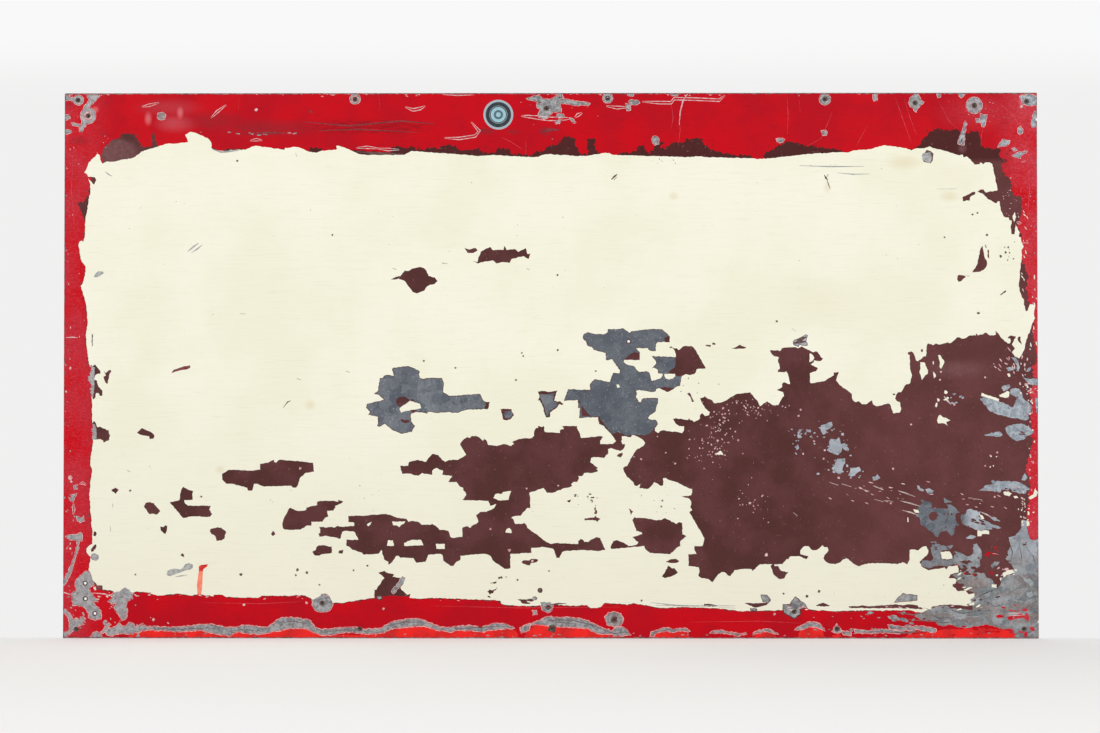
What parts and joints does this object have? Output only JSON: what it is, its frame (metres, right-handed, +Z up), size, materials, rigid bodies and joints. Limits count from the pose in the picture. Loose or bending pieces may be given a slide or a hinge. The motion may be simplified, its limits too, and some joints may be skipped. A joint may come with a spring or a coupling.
{
  "type": "advertising sign",
  "caption": "Flat sheet-metal advertising sign with thick old paint that has flaked to undercoat and bare zinc, dished nail holes along its edges and a round adhesive label near the top.",
  "frame": {"origin": "centre of the flat back face of the sheet, which lies against the wall", "axes": "+X along the width, to the viewer's right; +Z up; +Y out of the back, so the painted front faces -Y"},
  "size_m": [1.27, 0.0027, 0.7112],
  "materials": {
    "zinc_coated_sheet": "weathered zinc coating, dull grey with a faint spangle",
    "undercoat": "dull red-brown undercoat",
    "old_red_paint": "orange-red enamel, satin",
    "red_paint": "crimson enamel, satin, scuffed",
    "cream_paint": "cream oil paint, brushed, satin",
    "label_film": "printed adhesive film"
  },
  "bodies": {
    "root": {"sign_sheet": "zinc_coated_sheet", "round_label": "label_film"}
  },
  "joints": []
}
